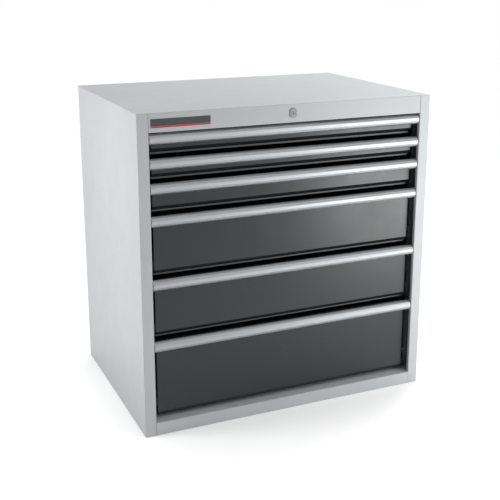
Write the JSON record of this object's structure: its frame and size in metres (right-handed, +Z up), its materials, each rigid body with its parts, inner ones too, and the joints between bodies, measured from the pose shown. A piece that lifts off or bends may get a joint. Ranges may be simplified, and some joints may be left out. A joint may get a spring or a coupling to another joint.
{
  "type": "drawer cabinet",
  "caption": "Sheet-steel drawer cabinet with recessed dark fronts, full-width bar handles, telescopic drawer runners and a central lock that blocks all drawers.",
  "frame": {"origin": "centre of the footprint, on the floor plane", "axes": "+Z up, drawers open towards -Y, +X to the right of someone facing the drawers"},
  "size_m": [1, 0.7, 1.02],
  "materials": {
    "housing_paint": "satin light grey powder coat on sheet steel",
    "tray_paint": "satin light grey powder coat, drawer insides",
    "front_paint": "satin anthracite powder coat",
    "handle_aluminium": "satin anodised extrusion",
    "zinc_steel": "zinc plated",
    "lock_metal": "satin nickel",
    "plate_plastic": "blank dark plate with a thin red edge line",
    "rivet_aluminium": "plain blind rivet head"
  },
  "bodies": {
    "cabinet": {"left_side_panel": "housing_paint", "right_side_panel": "housing_paint", "back_panel": "housing_paint", "top_cover": "housing_paint", "floor_panel": "housing_paint", "base_rail": "housing_paint", "top_rail": "housing_paint", "base_channel_left": "zinc_steel", "base_channel_right": "zinc_steel", "posts_left": "zinc_steel", "posts_right": "zinc_steel", "lock_housing": "lock_metal", "lock_nut": "zinc_steel", "lock_guides": "zinc_steel", "slider_hangers": "zinc_steel", "name_plate": "plate_plastic", "back_rivets": "rivet_aluminium", "runner_1": "zinc_steel", "runner_2": "zinc_steel", "runner_3": "zinc_steel", "runner_4": "zinc_steel", "runner_5": "zinc_steel", "runner_6": "zinc_steel"},
    "drawer_1": {"tray_1": "tray_paint", "front_1": "front_paint", "handle_1": "handle_aluminium", "drawer_bars_1": "zinc_steel"},
    "slide_pair_1": {"slide_1": "zinc_steel"},
    "drawer_2": {"tray_2": "tray_paint", "front_2": "front_paint", "handle_2": "handle_aluminium", "drawer_bars_2": "zinc_steel"},
    "slide_pair_2": {"slide_2": "zinc_steel"},
    "drawer_3": {"tray_3": "tray_paint", "front_3": "front_paint", "handle_3": "handle_aluminium", "drawer_bars_3": "zinc_steel"},
    "slide_pair_3": {"slide_3": "zinc_steel"},
    "drawer_4": {"tray_4": "tray_paint", "front_4": "front_paint", "handle_4": "handle_aluminium", "drawer_bars_4": "zinc_steel"},
    "slide_pair_4": {"slide_4": "zinc_steel"},
    "drawer_5": {"tray_5": "tray_paint", "front_5": "front_paint", "handle_5": "handle_aluminium", "drawer_bars_5": "zinc_steel"},
    "slide_pair_5": {"slide_5": "zinc_steel"},
    "drawer_6": {"tray_6": "tray_paint", "front_6": "front_paint", "handle_6": "handle_aluminium", "drawer_bars_6": "zinc_steel"},
    "slide_pair_6": {"slide_6": "zinc_steel"},
    "lock_core": {"lock_plug": "lock_metal", "lock_cam": "zinc_steel"},
    "lock_slide": {"lock_slider": "zinc_steel"},
    "lock_upright": {"lock_bar": "zinc_steel", "lock_hooks": "zinc_steel"}
  },
  "joints": [
    {"name": "drawer_1_slide", "type": "slide", "parent": "cabinet", "child": "drawer_1", "axis": [0, -1, 0], "range_m": [0, 0.6]},
    {"name": "runner_1_slide", "type": "slide", "parent": "cabinet", "child": "slide_pair_1", "axis": [0, -1, 0], "range_m": [0, 0.3]},
    {"name": "drawer_2_slide", "type": "slide", "parent": "cabinet", "child": "drawer_2", "axis": [0, -1, 0], "range_m": [0, 0.6]},
    {"name": "runner_2_slide", "type": "slide", "parent": "cabinet", "child": "slide_pair_2", "axis": [0, -1, 0], "range_m": [0, 0.3]},
    {"name": "drawer_3_slide", "type": "slide", "parent": "cabinet", "child": "drawer_3", "axis": [0, -1, 0], "range_m": [0, 0.6]},
    {"name": "runner_3_slide", "type": "slide", "parent": "cabinet", "child": "slide_pair_3", "axis": [0, -1, 0], "range_m": [0, 0.3]},
    {"name": "drawer_4_slide", "type": "slide", "parent": "cabinet", "child": "drawer_4", "axis": [0, -1, 0], "range_m": [0, 0.6]},
    {"name": "runner_4_slide", "type": "slide", "parent": "cabinet", "child": "slide_pair_4", "axis": [0, -1, 0], "range_m": [0, 0.3]},
    {"name": "drawer_5_slide", "type": "slide", "parent": "cabinet", "child": "drawer_5", "axis": [0, -1, 0], "range_m": [0, 0.6]},
    {"name": "runner_5_slide", "type": "slide", "parent": "cabinet", "child": "slide_pair_5", "axis": [0, -1, 0], "range_m": [0, 0.3]},
    {"name": "drawer_6_slide", "type": "slide", "parent": "cabinet", "child": "drawer_6", "axis": [0, -1, 0], "range_m": [0, 0.6]},
    {"name": "runner_6_slide", "type": "slide", "parent": "cabinet", "child": "slide_pair_6", "axis": [0, -1, 0], "range_m": [0, 0.3]},
    {"name": "lock_bar_lift", "type": "slide", "parent": "cabinet", "child": "lock_upright", "axis": [0, 0, 1], "range_m": [0, 0.01]},
    {"name": "lock_slider_slide", "type": "slide", "parent": "cabinet", "child": "lock_slide", "axis": [1, 0, 0], "range_m": [0, 0.01]},
    {"name": "lock_turn", "type": "hinge", "parent": "cabinet", "child": "lock_core", "pos_m": [0, -0.335, 0.991], "axis": [0, -1, 0], "range_deg": [0, 90]}
  ],
  "couplings": [
    {"joint": "runner_1_slide", "follows": "drawer_1_slide", "ratio": 0.5},
    {"joint": "runner_2_slide", "follows": "drawer_2_slide", "ratio": 0.5},
    {"joint": "runner_3_slide", "follows": "drawer_3_slide", "ratio": 0.5},
    {"joint": "runner_4_slide", "follows": "drawer_4_slide", "ratio": 0.5},
    {"joint": "runner_5_slide", "follows": "drawer_5_slide", "ratio": 0.5},
    {"joint": "runner_6_slide", "follows": "drawer_6_slide", "ratio": 0.5},
    {"joint": "lock_slider_slide", "follows": "lock_bar_lift", "ratio": 1},
    {"joint": "lock_turn", "follows": "lock_bar_lift", "rad_per_m": 157.08}
  ]
}
